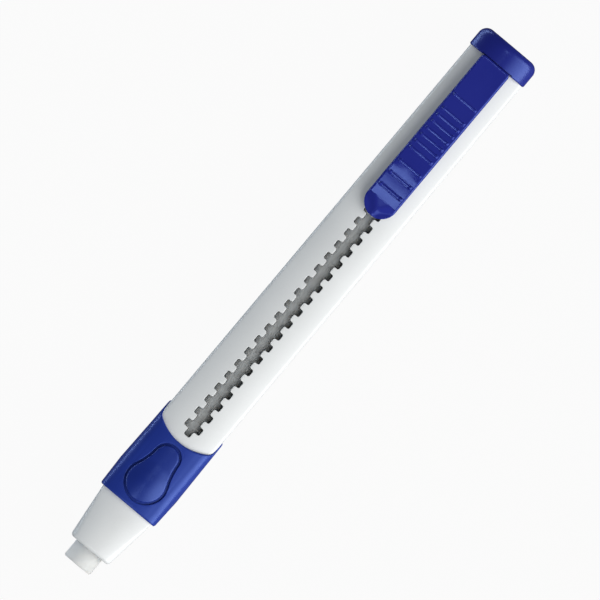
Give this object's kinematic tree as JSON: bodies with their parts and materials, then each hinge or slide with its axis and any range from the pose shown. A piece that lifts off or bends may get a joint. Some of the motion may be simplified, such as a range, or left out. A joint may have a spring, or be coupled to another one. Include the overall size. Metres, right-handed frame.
{
  "type": "stick eraser holder",
  "caption": "Pen-shaped sliding eraser: a white barrel with a castellated slot, a blue grip with a finger pad, a blue thumb slider that clicks along the slot, and a blue end cap.",
  "frame": {"origin": "on the surface the holder lies on, under the middle of its box: halfway along its length and on its centre plane", "axes": "+X along the holder from the eraser's tip to the end cap, +Z out of the slot face with the slider on it, +Y across the holder"},
  "size_m": [0.131, 0.014, 0.0128],
  "materials": {
    "white_shell": "satin moulded polystyrene",
    "blue_grip": "satin moulded",
    "blue_gloss": "glossy moulded",
    "inner_plastic": "plain moulded acetal",
    "eraser": "matte white vinyl"
  },
  "bodies": {
    "holder": {"barrel": "white_shell", "nose_cone": "white_shell", "grip_sleeve": "blue_grip", "grip_pad": "blue_grip", "end_cap": "blue_gloss"},
    "carrier": {"eraser_carrier": "inner_plastic", "latch_spring": "inner_plastic"},
    "slider": {"thumb_slider": "blue_gloss"},
    "eraser": {"eraser_stick": "eraser"}
  },
  "joints": [
    {"name": "slider_travel", "type": "slide", "parent": "holder", "child": "carrier", "axis": [-1, 0, 0], "range_m": [0, 0.057], "deforming": ["latch_spring"]},
    {"name": "slider_press", "type": "hinge", "parent": "carrier", "child": "slider", "pos_m": [0.05204, 0, 0.00802], "axis": [0, -1, 0], "range_deg": [0, 1.5], "stiffness_Nm_per_rad": 0.3, "deforming": ["latch_spring"]},
    {"name": "eraser_withdraw", "type": "slide", "parent": "carrier", "child": "eraser", "axis": [-1, 0, 0], "range_m": [0, 0.09]}
  ]
}
